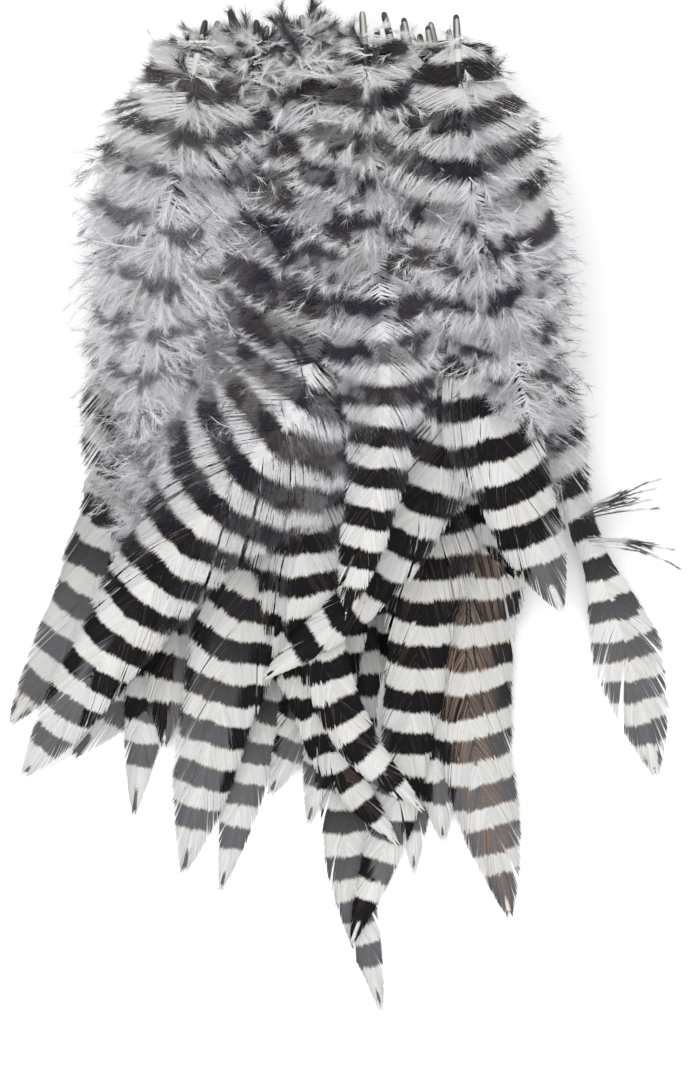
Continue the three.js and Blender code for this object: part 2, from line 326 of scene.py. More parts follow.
def centripetal(points, steps):
    """A smooth line through points that bends little between near ones."""
    points = np.array(points, float)
    points = np.vstack([2 * points[0] - points[1], points, 2 * points[-1] - points[-2]])
    line = []
    for k in range(1, len(points) - 2):
        p = points[k - 1 : k + 3]
        t = np.concatenate([[0], np.cumsum(np.linalg.norm(np.diff(p, axis=0), axis=1) ** 0.5)])
        for v in np.linspace(t[1], t[2], steps, endpoint=False):
            a = [mix(p[i], p[i + 1], (v - t[i]) / (t[i + 1] - t[i])) for i in range(3)]
            b = [mix(a[i], a[i + 1], (v - t[i]) / (t[i + 2] - t[i])) for i in range(2)]
            line.append(mix(b[0], b[1], (v - t[1]) / (t[2] - t[1])))
    line.append(points[-2])
    return np.array(line)


class Shaft:
    """A feather's shaft: its line from above, and its height as the solid carries it."""

    def __init__(self, feather, node):
        line = centripetal(feather["points"], LINE_STEPS)
        walked = lengths_along(line)
        self.feather = feather
        self.length = walked[-1]
        self.s = np.linspace(0, self.length, LINE_POINTS)
        self.x = np.interp(self.s, walked, line[:, 0])
        self.y = np.interp(self.s, walked, line[:, 1])
        along = np.stack([np.gradient(self.x, self.s), np.gradient(self.y, self.s)], axis=1)
        along /= np.linalg.norm(along, axis=1)[:, None]
        self.along = along
        self.z = self.heights(node)

    def heights(self, node):
        """The underside of the solid below each point of the line, smoothed a little."""
        tree = BVHTree.FromPolygons(
            [v.co for v in node.data.vertices], [p.vertices for p in node.data.polygons]
        )
        found = np.full(self.s.shape, np.nan)
        for k, (x, y) in enumerate(zip(self.x, self.y)):
            hit = tree.ray_cast(Vector((x * MM, y * MM, -0.01)), Vector((0, 0, 1)))[0]
            if hit is not None:
                found[k] = hit.z / MM
        known = ~np.isnan(found)
        found = np.interp(self.s, self.s[known], found[known])
        averaged = 2 * LINE_SMOOTHING + 1
        padded = np.pad(found, LINE_SMOOTHING, mode="edge")
        return np.convolve(padded, np.ones(averaged) / averaged, mode="valid")

    def place(self, s, t, h):
        """Points in the frame, in millimetres, from a length along, a way across and a height."""
        s = np.asarray(s, float)
        inside = np.clip(s, 0, self.length)
        beyond = s - inside
        x, y = np.interp(inside, self.s, self.x), np.interp(inside, self.s, self.y)
        ax = np.interp(inside, self.s, self.along[:, 0])
        ay = np.interp(inside, self.s, self.along[:, 1])
        z = np.interp(inside, self.s, self.z)
        return np.stack([x - ay * t + ax * beyond, y + ax * t + ay * beyond, z + h], axis=-1)

    def radius(self, s):
        share = np.clip((s - QUILL_BARE) / (self.length - QUILL_BARE), 0, 1)
        return mix(QUILL_RADIUS, TIP_RADIUS, np.sqrt(share))

    def share(self, s):
        """How far along the web, from 0 behind the quill to just under 1 at the tip."""
        return np.clip((s - QUILL_BARE) / (self.length - QUILL_BARE), 0, LAST_SHARE)

    def width(self, s):
        return half_width(self.share(s), self.feather["half"])

    def fluff(self, s):
        """1 in the down, falling to 0 in the smooth web, and a little behind the quill."""
        vane = self.feather["vane"]
        begins = mix(1 - self.feather["sleek"], 1, smooth(s, *SLEEK_SPAN))
        return smooth(self.length - s, vane, vane + self.feather["fringe"]) * begins

    def phase(self, s, t):
        """Whole numbers are the middles of dark bars, which bow towards the tip. The last one
        is a narrow mark in the middle of a pale tip."""
        from_tip = self.length - (s + BAR_BOW * t**2)
        slope = self.feather["growth"] / self.length + 1e-6
        bars = np.log1p(slope * from_tip) - np.log1p(slope * self.feather["first"])
        at_edge = smooth(np.abs(t) / self.width(s), -0.2, 0.7) * (1 - smooth(from_tip, 3.0, 6.0))
        return bars / (slope * self.feather["period"]) + 0.5 * at_edge


# What the feathers laid so far cover, as small squares seen from above


class Cover:
    SQUARE = 0.6
    HALF = 300

    def __init__(self, squares=None):
        side = 2 * self.HALF
        self.squares = np.zeros((side, side), int) if squares is None else squares

    def find(self, points):
        index = np.floor(points[..., :2] / self.SQUARE).astype(int) + self.HALF
        return tuple(np.clip(index, 0, 2 * self.HALF - 1).T)

    def over(self, points):
        return self.squares[self.find(points)].T.astype(float)

    def lay(self, points):
        laid = np.zeros(self.squares.shape, bool)
        for share in (0, 0.25, 0.5, 0.75):
            laid[self.find(mix(points[:, :-1], points[:, 1:], share))] = True
        self.squares += laid


def webs_above(shafts):
    """For each feather, how many of the webs laid after it lie over every place."""
    above = Cover()
    found = []
    for shaft in reversed(shafts):
        found.append(Cover(above.squares.copy()))
        s = np.linspace(QUILL_BARE, shaft.length, WEB_ROWS)[:, None]
        t = np.linspace(-1, 1, WEB_COLUMNS)[None, :] * shaft.width(s)
        above.lay(shaft.place(s + 0 * t, t, 0))
    return found[::-1]


# The feathers that are made already: each lays its own web here when it is done.
below = Cover()


# The parts of a feather, gathered as vertices, faces and values for the material


class Parts:
    NAMES = ("phase", "fluff", "tone", "rust", "ghost", "across", "along")

    def __init__(self):
        self.points, self.faces, self.finish = [], [], []
        self.values = {name: [] for name in self.NAMES}
        self.count = 0

    def add(self, points, faces, finish, **values):
        points = points.reshape(-1, 3)
        self.points.append(points)
        self.faces.append(faces.reshape(-1, faces.shape[-1]) + self.count)
        self.finish.append(np.full(len(self.faces[-1]), finish))
        for name, store in self.values.items():
            value = np.ravel(values.get(name, 0.0))
            store.append(np.broadcast_to(value, (len(points),)).astype(np.float32))
        self.count += len(points)

    def build(self, name, materials):
        points = np.concatenate(self.points)
        points[:, 2] = np.maximum(points[:, 2], FLOOR_GAP)
        mesh = bpy.data.meshes.new(name)
        sizes = np.concatenate([np.full(len(f), f.shape[1]) for f in self.faces])
        corners = np.concatenate([f.ravel() for f in self.faces])
        starts = np.concatenate([[0], np.cumsum(sizes)[:-1]])
        mesh.vertices.add(len(points))
        mesh.vertices.foreach_set("co", (points * MM).astype(np.float32).ravel())
        mesh.loops.add(len(corners))
        mesh.loops.foreach_set("vertex_index", corners.astype(np.int32))
        mesh.polygons.add(len(sizes))
        mesh.polygons.foreach_set("loop_start", starts.astype(np.int32))
        mesh.polygons.foreach_set("material_index", np.concatenate(self.finish).astype(np.int32))
        mesh.update(calc_edges=True)
        values = {key: np.concatenate(store) for key, store in self.values.items()}
        for key in ("phase", "fluff", "tone", "rust", "ghost"):
            mesh.attributes.new(key, "FLOAT", "POINT").data.foreach_set("value", values[key])
        plane = np.stack([values["along"], values["across"]], axis=1)
        uv = mesh.uv_layers.new(name="OFBake")
        uv.data.foreach_set("uv", plane[corners].astype(np.float32).ravel())
        for material in materials:
            mesh.materials.append(material)
        piece = bpy.data.objects.new(name, mesh)
        bpy.context.scene.collection.objects.link(piece)
        return piece


# The barbs and barbules: where their points are along, across and above the shaft, and their looks

Barbs = namedtuple("Barbs", "s t h fluff tone rust shift")


def openness(fluff):
    """How far apart and thin the barbs are: they stay close until well into the down."""
    return smooth(fluff, 0.5, 1.0)


def barb_lean(shaft, s):
    """The angle between a barb and the shaft: barbs stand wider in the down, and the first
    ones behind the quill stand out squarely."""
    near_tip = 1 - smooth(shaft.length - s, 2, 22)
    lean = mix(VANE_LEAN, DOWN_LEAN, shaft.fluff(s)) - TIP_LEAN * near_tip
    flare = shaft.feather["flare"] * (1 - smooth(s, QUILL_BARE, QUILL_BARE + FLARE_LENGTH))
    return np.radians(lean + flare)


def barb_roots(rng, shaft):
    """Where the barbs start along the shaft, further apart in the down."""
    roots = []
    s = QUILL_BARE * FIRST_BARB
    while s < shaft.length * LAST_BARB:
        roots.append(s)
        s += mix(VANE_STEP, DOWN_STEP, float(openness(shaft.fluff(s)))) * rng.uniform(0.8, 1.2)
    return np.array(roots)


def clump_ids(rng, fluff):
    """Barbs hold together in clumps, small ones in the down and broad ones in the web."""
    return np.cumsum(rng.random(len(fluff)) < 1 / mix(VANE_CLUMP, DOWN_CLUMP, fluff))


def by_clump(rng, clump):
    """A random value for each barb that is the same throughout its clump."""
    return rng.normal(0, 1, clump.max() + 1)[clump]


def gathered(values, clump):
    """For each barb, the mean of its clump's values."""
    means = np.bincount(clump, values) / np.maximum(np.bincount(clump), 1)
    return means[clump]


def along_barb(mess):
    """The shares of its length at which a barb has points, closer at the end in the web."""
    even = np.linspace(0, 1, BARB_POINTS)[None, :]
    return mix(1 - (1 - even) ** 1.6, even, mess[:, None])


def curve_barbs(rng, shaft, s0, s2, t0, t2, mess, rise):
    """Barbs as curves from root to end: wide from the shaft at first, then closer to it."""
    count = len(s0)
    q = along_barb(mess)
    bulge = (mix(0.10, 0.15, mess) + mess * rng.normal(0, 0.09, count))[:, None]
    s0, s2, t0, t2 = s0[:, None], s2[:, None], t0[:, None], t2[:, None]
    s1, t1 = mix(s0, s2, 0.5 - bulge), mix(t0, t2, 0.5 + bulge)
    s = (1 - q) ** 2 * s0 + 2 * q * (1 - q) * s1 + q**2 * s2
    t = (1 - q) ** 2 * t0 + 2 * q * (1 - q) * t1 + q**2 * t2
    wave = (mess * rng.normal(0, 0.5, count))[:, None]
    s += wave * np.sin(q * 2 * math.pi)
    curl = (mess * rng.normal(0, 0.45, count))[:, None]
    h = shaft.radius(s0) * (1 - q) + BARB_LIFT
    h = h + rise[:, None] * q**1.4 + curl * np.sin(q * math.pi)
    return s, t, np.maximum(h, LEAST_LIFT)


def barb_looks(rng, mess, clump, rust):
    """The values that make one barb lighter, browner or shifted against its neighbours."""
    count = len(mess)
    tone = np.clip(0.5 + 0.1 * by_clump(rng, clump) + rng.normal(0, 0.15, count), 0, 1)
    browned = (rng.random(clump.max() + 1) < 0.05 + rust**2)[clump]
    brown = browned * rng.uniform(-0.3, 0.4 + rust, count) + (rng.random(count) < 0.12) * 0.6
    shift = mix(0.022, 0.10, mess) * by_clump(rng, clump)
    shift += mix(0.016, 0.07, mess) * rng.normal(0, 1, count)
    return tone, np.clip(brown, 0, 1), shift


def web_barbs(rng, shaft, side):
    """The barbs of one side of a feather."""
    s0 = barb_roots(rng, shaft)
    count = len(s0)
    fluff = shaft.fluff(s0)
    mess = fluff**3
    clump = clump_ids(rng, mess)
    loose = (rng.random(count) < LOOSE_CHANCE) * (1 - fluff)
    angle = barb_lean(shaft, s0) + mix(0.02, 0.11, mess) * by_clump(rng, clump)
    angle += mix(0.01, 0.10, mess) * rng.normal(0, 1, count) + loose * rng.normal(0, 0.1, count)
    reach = shaft.width(s0) / np.sin(angle)
    reach *= 1 + mix(0.02, 0.16, mess) * rng.normal(0, 1, count) + 0.06 * by_clump(rng, clump)
    s2 = np.minimum(s0 + reach * np.cos(angle), shaft.length - 0.1 * (shaft.length - s0))
    t2 = np.minimum(shaft.width(s2), 1.8 * shaft.width(s0) + 0.6)
    t2 *= 1 + mix(0.025, 0.14, mess) * rng.normal(0, 1, count)
    t2 *= 1 + mix(0.03, 0.07, mess) * by_clump(rng, clump)
    pull = 0.35 * mess
    s2, t2 = mix(s2, gathered(s2, clump), pull), mix(t2, gathered(t2, clump), pull)
    t2 = np.maximum(t2, 0.25)
    rise = mix(0.03, 0.45, mess) * rng.normal(0, 1, count)
    rise += mix(0.06, 0.7, mess) * by_clump(rng, clump)
    rise += 1.0 * fluff + loose * rng.uniform(0.3, 1.2, count)
    t0 = shaft.radius(s0) * mix(0.6, -0.5, np.sqrt(fluff))
    s, t, h = curve_barbs(rng, shaft, s0, s2, t0, t2, mess, rise)
    return Barbs(s, t * side, h, fluff, *barb_looks(rng, mess, clump, shaft.feather["rust"]))


def end_of_down(shaft):
    """Where the full down stops, before the fringe or the tip."""
    return shaft.length - max(shaft.feather["vane"] + 0.9 * shaft.feather["fringe"], 16)


def cover_barbs(rng, shaft):
    """Loose barbs that lie over the shaft in the down and hide it."""
    low = QUILL_BARE + shaft.feather["shown"]
    high = max(end_of_down(shaft), low + 4)
    s0 = np.sort(rng.uniform(low, high, max(4, int((high - low) / COVER_STEP))))
    count = len(s0)
    fluff = np.ones(count)
    clump = clump_ids(rng, fluff)
    angle = 0.5 * by_clump(rng, clump) + rng.normal(0, 0.3, count)
    reach = rng.uniform(*COVER_REACH, count)
    s2, t2 = s0 + reach * np.cos(angle), reach * np.sin(angle)
    rise = 1.2 + 0.7 * by_clump(rng, clump) + rng.normal(0, 0.5, count)
    s, t, h = curve_barbs(rng, shaft, s0, s2, rng.normal(0, 0.8, count), t2, 0.6 * fluff, rise)
    h += shaft.radius(s0)[:, None] * 1.5
    return Barbs(s, t, h, fluff, *barb_looks(rng, fluff, clump, shaft.feather["rust"]))


def tuft_barbs(rng, shaft):
    """Loose pale barbs that stand round the quill in all directions and hide the thread. There
    are few at the far left and at the right, and they are longest left of the middle."""
    at = shaft.x[0]
    far_left, middle, right = TUFT_COUNTS
    count = int(mix(mix(far_left, middle, smooth(at, -20, -15)), right, smooth(at, -2, 6)))
    s0 = np.sort(rng.uniform(QUILL_BARE * 0.5, QUILL_BARE + 6, count))
    fluff = np.ones(count)
    clump = clump_ids(rng, fluff)
    angle = rng.uniform(0.6, 2.9, count) * rng.choice([-1, 1], count)
    left_of_middle = smooth(at, -20, -13) * (1 - smooth(at, -8, -3))
    longest = mix(TUFT_SHORT, TUFT_LONG, left_of_middle) - TUFT_CUT * smooth(at, 2, 8)
    reach = rng.uniform(2.5, longest, count)
    s2, t2 = s0 + reach * np.cos(angle), reach * np.sin(angle)
    rise = rng.uniform(*TUFT_RISE, count)
    s, t, h = curve_barbs(rng, shaft, s0, s2, rng.normal(0, 1.2, count), t2, 0.3 * fluff, rise)
    h += rng.uniform(0, TUFT_LIFT, count)[:, None]
    tone, rust, shift = barb_looks(rng, fluff, clump, shaft.feather["rust"])
    to_pale = 0.5 - shaft.phase(s0, 0 * s0) % 1
    return Barbs(s, t, h, fluff, tone, rust, to_pale + 1.4 * shift)


def wisp_barbs(rng, shaft):
    """Two locks of long stiff barbs that have come away from the others at a feather's neck."""
    from_tip, count = shaft.feather["wisps"]
    lower = rng.random(count) < 0.5
    s0 = shaft.length - from_tip + LOCK_GAP * lower + rng.uniform(-1.2, 1.2, count)
    fluff = np.full(count, 0.35)
    clump = lower.astype(int)
    angle = np.where(lower, *LOCK_ANGLES) + rng.normal(0, 0.1, count)
    reach = rng.uniform(*LOCK_REACH, count)
    s2, t2 = s0 + reach * np.cos(angle), reach * np.sin(angle)
    rise = rng.uniform(*LOCK_RISE, count)
    s, t, h = curve_barbs(rng, shaft, s0, s2, 0.6 * shaft.radius(s0), t2, fluff, rise)
    return Barbs(s, t, h, fluff, *barb_looks(rng, fluff, clump, shaft.feather["rust"]))


def stray_barbs(rng, shaft, side):
    """A few long thin barbs that stand out beyond the down."""
    low, high = QUILL_BARE + 4, end_of_down(shaft)
    s0 = np.sort(rng.uniform(low, high, max(3, int((high - low) / STRAY_STEP))))
    count = len(s0)
    fluff = np.full(count, 0.9)
    clump = np.arange(count)
    angle = barb_lean(shaft, s0) + rng.normal(0.3, 0.3, count)
    angle = np.clip(angle, *STRAY_ANGLES)
    t2 = shaft.width(s0) + rng.uniform(*STRAY_BEYOND, count)
    s2 = s0 + np.minimum(t2 / np.tan(angle), STRAY_LENGTH)
    rise = rng.normal(1.0, 1.5, count)
    t0 = shaft.radius(s0) * 0.6
    s, t, h = curve_barbs(rng, shaft, s0, s2, t0, t2, fluff, rise)
    return Barbs(s, t * side, h, fluff, *barb_looks(rng, fluff, clump, shaft.feather["rust"]))


def ribbon_faces(count, points):
    """Quads of ribbons whose vertices are stored as pairs along each."""
    start = np.arange(count)[:, None] * points * 2
    first = start + np.arange(points - 1)[None, :] * 2
    return np.stack([first, first + 1, first + 3, first + 2], axis=-1).reshape(-1, 4)


def painted_backlight_share(shaft, s, t, centre, fluff):
    """Painted backlight: how much paler a dark barb is painted where light would come through it,
    near the tip where nothing lies below it, and at the ends of the down."""
    through = mix(TIP_BACKLIGHT, WEB_BACKLIGHT, smooth(shaft.length - s, *BACKLIGHT_SPAN))
    bare = (below.over(centre) == 0) * through
    outer = smooth(np.abs(t) / shaft.width(s), 0.8, 1.2)
    return np.maximum(bare, outer * fluff * DOWN_BACKLIGHT)


def soft_look(s, fluff):
    """How much a barb has the soft colours of the down: the bars are clearer near the quill."""
    return fluff * mix(0.45, 1, smooth(s, 10, 42))


def away_from_edge(shaft, s, t):
    """1 beside the shaft, where the bars can be brown, and near 0 at the edges, which are black."""
    return 1 - 0.95 * smooth(np.abs(t) / shaft.width(s), 0.4, 0.75)


def add_ribbons(parts, shaft, barbs, width):
    """Barbs as thin ribbons, which in the smooth web are tilted so that they overlap."""
    s, t = barbs.s, barbs.t
    centre = shaft.place(s, t, barbs.h)
    along = np.gradient(centre, axis=1)
    aside = np.stack([-along[..., 1], along[..., 0], np.zeros(s.shape)], axis=-1)
    aside /= np.linalg.norm(aside, axis=-1)[..., None] + 1e-9
    offset = aside * (width / 2)[..., None]
    offset[..., 2] = BARB_TILT * np.sign(t) * (1 - barbs.fluff)[:, None]
    points = np.stack([centre - offset, centre + offset], axis=2)
    # Painted backlight: the barb is painted paler where light would come through it.
    ghost = painted_backlight_share(shaft, s, t, centre, barbs.fluff[:, None])
    each = s.shape[1] * 2
    parts.add(
        points, ribbon_faces(*s.shape), WEB,
        phase=np.repeat(shaft.phase(s, t) + barbs.shift[:, None], 2, axis=1),
        fluff=np.repeat(soft_look(s, barbs.fluff[:, None]), 2, axis=1),
        tone=np.repeat(barbs.tone, each),
        rust=np.repeat(barbs.rust[:, None] * away_from_edge(shaft, s, t), 2, axis=1),
        ghost=np.repeat(ghost, 2, axis=1),
        across=np.repeat(np.clip(0.5 + t / (2 * UV_WIDTH), 0, 1), 2, axis=1),
        along=np.repeat(np.clip(s / shaft.length, 0, 1), 2, axis=1),
    )
    return centre


def add_barbules(rng, parts, shaft, barbs, above, share=1.0):
    """Fine hairs on both sides of the downy barbs, each a thin triangle, and fewer of them where
    other feathers hide them."""
    s, t, h, fluff = barbs.s, barbs.t, barbs.h, barbs.fluff
    count, points = s.shape
    length = np.hypot(t[:, -1] - t[:, 0], s[:, -1] - s[:, 0])
    hidden = above.over(shaft.place(s, t, h)).mean(axis=1)
    each = rng.poisson(length / BARBULE_STEP * 2 * share * fluff**0.7 / (1 + hidden) ** 2)
    barb = np.repeat(np.arange(count), each)
    total = len(barb)
    q = rng.uniform(0.04, 1.0, total) ** 0.8 * (points - 1)
    k = np.minimum(q.astype(int), points - 2)
    rs, rt, rh = (mix(v[barb, k], v[barb, k + 1], q - k) for v in (s, t, h))
    heading = np.arctan2(t[barb, k + 1] - t[barb, k], s[barb, k + 1] - s[barb, k])
    heading += rng.choice([-1, 1], total) * rng.uniform(0.06, 0.22 + 0.5 * fluff[barb], total)
    reach = BARBULE_LENGTH * mix(0.45, 1, fluff[barb]) * rng.uniform(0.4, 1.25, total)
    ts, tt = rs + np.cos(heading) * reach, rt + np.sin(heading) * reach
    th = np.maximum(rh + rng.normal(0.06, 0.26, total) * reach, 0.03)
    root, tip = shaft.place(rs, rt, rh), shaft.place(ts, tt, th)
    aside = np.stack([-(tip - root)[:, 1], (tip - root)[:, 0], np.zeros(total)], axis=-1)
    aside /= np.linalg.norm(aside, axis=1)[:, None] + 1e-9
    offset = aside * (BARBULE_WIDTH / 2 * rng.uniform(0.7, 1.3, total))[:, None]
    # Painted backlight: the barbules are painted paler where light would come through them.
    ghost = painted_backlight_share(shaft, rs, rt, root, fluff[barb])
    tone = np.clip(barbs.tone[barb] + rng.normal(0, 0.12, total), 0, 1)
    shift = barbs.shift[barb] + rng.normal(0, 0.03, total)
    at_root, at_tip = shaft.phase(rs, rt) + shift, shaft.phase(ts, tt) + shift
    at_tip = mix(at_root, at_tip, 0.55)
    us, ut = mix(rs, ts, 0.15), mix(rt, tt, 0.15)
    corners = np.stack([root - offset, root + offset, tip], axis=1)
    parts.add(
        corners, np.arange(total * 3).reshape(-1, 3), WEB,
        phase=np.stack([at_root, at_root, at_tip], axis=1),
        fluff=np.repeat(soft_look(rs, np.clip(fluff[barb] + 0.25, 0, 1)), 3),
        tone=np.repeat(tone, 3),
        rust=np.repeat(barbs.rust[barb], 3),
        # The barbules' tips get more painted backlight.
        ghost=np.stack([ghost, ghost, np.clip(ghost + 0.2, 0, 1)], axis=1),
        across=np.clip(0.5 + np.stack([rt - 0.05, rt + 0.05, ut], axis=1) / (2 * UV_WIDTH), 0, 1),
        along=np.clip(np.stack([rs, rs, us], axis=1) / shaft.length, 0, 1),
    )


def barb_widths(barbs):
    """Ribbons that keep their width in the smooth web and taper in the down."""
    q = along_barb(barbs.fluff**3)
    fluff = barbs.fluff[:, None]
    smooth_web = VANE_BARB_WIDTH * (1 - 0.75 * q**5)
    down = DOWN_BARB_WIDTH + (DOWN_BARB_ROOT - DOWN_BARB_WIDTH) * (1 - q) ** 2
    return mix(smooth_web, down, openness(fluff))


def add_web(rng, parts, shaft, above):
    """Both sides of a feather's web and down, its stray barbs and its loose ones."""
    laid = []
    for side in (-1, 1):
        web = web_barbs(rng, shaft, side)
        laid.append(add_ribbons(parts, shaft, web, barb_widths(web)))
        add_barbules(rng, parts, shaft, web, above)
        strays = stray_barbs(rng, shaft, side)
        add_ribbons(parts, shaft, strays, barb_widths(strays) * STRAY_WIDTH)
        add_barbules(rng, parts, shaft, strays, above, STRAY_HAIRS)
    extras = [(cover_barbs(rng, shaft), COVER_HAIRS), (tuft_barbs(rng, shaft), TUFT_HAIRS)]
    if shaft.feather["wisps"][1] > 0:
        extras.append((wisp_barbs(rng, shaft), LOCK_HAIRS))
    for loose, hairs in extras:
        add_ribbons(parts, shaft, loose, barb_widths(loose) * LOOSE_WIDTH)
        add_barbules(rng, parts, shaft, loose, above, hairs)
    below.lay(np.concatenate(laid))


def add_shaft(rng, parts, shaft):
    """The quill and shaft, a tapering rod with a rounded end. Its horn is clear or dark at the
    end, and barred behind it, and the clear horn has painted shade on its sides and a painted
    highlight along its top."""
    s = np.concatenate([END_RINGS, np.linspace(END_LENGTH, shaft.length, SHAFT_RINGS)])
    bare_end = QUILL_BARE + shaft.feather["shown"]
    hidden = smooth(shaft.fluff(s), 0.02, 0.3) * smooth(s, bare_end - 3, bare_end + 5)
    radius = shaft.radius(s) * mix(0.8, 1, smooth(s, 0, 9)) * mix(1, SUNK_SHARE, hidden)
    radius[: len(END_SHARES)] *= END_SHARES
    radius[-1] = LAST_RADIUS
    angle = np.linspace(0, 2 * math.pi, SHAFT_SIDES, endpoint=False)[None, :]
    t = radius[:, None] * np.cos(angle)
    axis = mix(shaft.radius(s), radius, hidden)
    h = axis[:, None] + radius[:, None] * np.sin(angle)
    along = np.repeat(s[:, None], SHAFT_SIDES, axis=1)
    dark_end = rng.uniform(0, DARK_END_LENGTH) * (rng.random() < DARK_END_CHANCE)
    phase = np.where(along < dark_end, DARK_END, CLEAR)
    phase = np.where(along < QUILL_BARE * 0.8, phase, shaft.phase(along, 0 * t))
    # Painted shade on the clear horn's sides and a painted highlight along its top, with random
    # streaks.
    painted_highlight_and_streaks = 1 - smooth(np.abs(np.cos(angle)), 0.2, 0.75) + rng.normal(0, 0.15, SHAFT_SIDES)
    in_web = along > bare_end
    finish = np.where(in_web[:-1], WEB, HORN).ravel()
    centre = shaft.place(along, t, h)
    parts.add(
        centre, tube_faces(len(s), SHAFT_SIDES), finish,
        phase=phase,
        fluff=np.where(in_web, shaft.fluff(along), 0),
        # The shaft in the web gets the same painted backlight as its barbs.
        ghost=np.where(in_web, 0.8 * painted_backlight_share(shaft, along, t, centre, 0), 0),
        # On the horn this value holds the painted side shade and top highlight; in the web it is 0.
        rust=np.where(in_web, 0, np.clip(painted_highlight_and_streaks + 0 * along, 0, 1)),
        tone=np.where(in_web, 0.5, 1 - smooth(along, QUILL_BARE * 0.5, QUILL_BARE)),
        across=0.5 + t / (2 * UV_WIDTH),
        along=along / shaft.length,
    )


# Materials


class Nodes:
    """A short way of writing a material's node tree."""

    def __init__(self, name):
        self.material = bpy.data.materials.new(name)
        self.material.use_nodes = True
        self.tree = self.material.node_tree
        self.shader = self.tree.nodes["Principled BSDF"]

    def node(self, kind, inputs=(), **settings):
        made = self.tree.nodes.new(kind)
        for key, value in settings.items():
            setattr(made, key, value)
        for key, value in dict(inputs).items():
            if isinstance(value, bpy.types.NodeSocket):
                self.tree.links.new(value, made.inputs[key])
            else:
                made.inputs[key].default_value = value
        return made

    def value(self, name):
        return self.node("ShaderNodeAttribute", attribute_name=name).outputs["Fac"]

    def math(self, operation, a, b=0.0, c=0.0):
        return self.node("ShaderNodeMath", {0: a, 1: b, 2: c}, operation=operation).outputs[0]

    def span(self, value, low, high, to_low=0.0, to_high=1.0):
        """A value carried smoothly from one range to another."""
        inputs = {"Value": value, "From Min": low, "From Max": high}
        inputs.update({"To Min": to_low, "To Max": to_high})
        made = self.node("ShaderNodeMapRange", inputs, interpolation_type="SMOOTHSTEP")
        return made.outputs["Result"]

    def blend(self, share, a, b):
        made = self.node("ShaderNodeMix", {0: share, 6: a, 7: b}, data_type="RGBA")
        return made.outputs[2]

    def noise(self, scale, detail=2.0):
        """Noise fixed to the piece, with features of 1 / scale metres."""
        place = self.node("ShaderNodeTexCoord").outputs["Object"]
        made = self.node("ShaderNodeTexNoise", {"Vector": place, "Scale": scale, "Detail": detail})
        return made.outputs["Fac"]

    def link(self, output, socket):
        self.tree.links.new(output, self.shader.inputs[socket])


INK = (0.0042, 0.004, 0.0055, 1)
# Painted backlight: the grey of a dark bar of the web where light would come through it.
BACKLIT_ASH = (0.14, 0.138, 0.148, 1)
BUFF = (0.23, 0.165, 0.13, 1)
SLATE = (0.019, 0.016, 0.028, 1)
# Painted backlight: the grey of a dark bar of the down where light would come through it.
BACKLIT_MIST = (0.20, 0.205, 0.24, 1)
UMBER = (0.07, 0.044, 0.032, 1)
FAWN = (0.20, 0.15, 0.125, 1)
TAN = (0.32, 0.26, 0.205, 1)
CHALK = (0.61, 0.61, 0.605, 1)
PEARL = (0.60, 0.605, 0.64, 1)
CREAM = (0.62, 0.59, 0.53, 1)
BONE_DARK = (0.50, 0.485, 0.445, 1)
BONE_LIGHT = (0.62, 0.61, 0.58, 1)
# Painted shade on the clear horn's sides.
CLEAR_SIDE_SHADE = (0.03, 0.028, 0.025, 1)
# A painted highlight along the clear horn's top.
CLEAR_TOP_HIGHLIGHT = (0.50, 0.49, 0.44, 1)
HORN_BLACK = (0.008, 0.008, 0.012, 1)
COTTON_DARK = (0.62, 0.60, 0.55, 1)
COTTON_LIGHT = (0.82, 0.81, 0.77, 1)
FLOOR_PALE = (0.94, 0.94, 0.94, 1)
WHITE = (1, 1, 1, 1)

# The patterns' fineness, as noise scales a metre, and how wide a dark bar is in its period.
WOBBLE_SCALE = 150.0
PATCH_SCALE = 85.0
FADING_SCALE = 150.0
BONE_SCALE = 300.0
COTTON_SCALE = 2500.0
DARK_WIDTH = 0.52
VANE_SOFTNESS = 0.07
DOWN_SOFTNESS = 0.2
HORN_SOFTNESS = 0.03


def dark_share(nodes, softness_low, softness_high, dusk=0.0):
    """1 in a dark bar and 0 in a light one, with edges softer in the down."""
    phase, fluff = nodes.value("phase"), nodes.value("fluff")
    wobble = nodes.math("MULTIPLY_ADD", nodes.noise(WOBBLE_SCALE, 3.0), 0.24, -0.12)
    part = nodes.math("FRACT", nodes.math("ADD", nodes.math("ADD", phase, wobble), 0.5))
    away = nodes.math("MULTIPLY", nodes.math("ABSOLUTE", nodes.math("SUBTRACT", part, 0.5)), 2.0)
    soft = nodes.math("MULTIPLY_ADD", fluff, softness_high - softness_low, softness_low)
    edge = nodes.math("MULTIPLY_ADD", nodes.math("POWER", fluff, 3.0), dusk, DARK_WIDTH)
    low, high = nodes.math("SUBTRACT", edge, soft), nodes.math("ADD", edge, soft)
    return nodes.span(away, low, high, 1.0, 0.0)


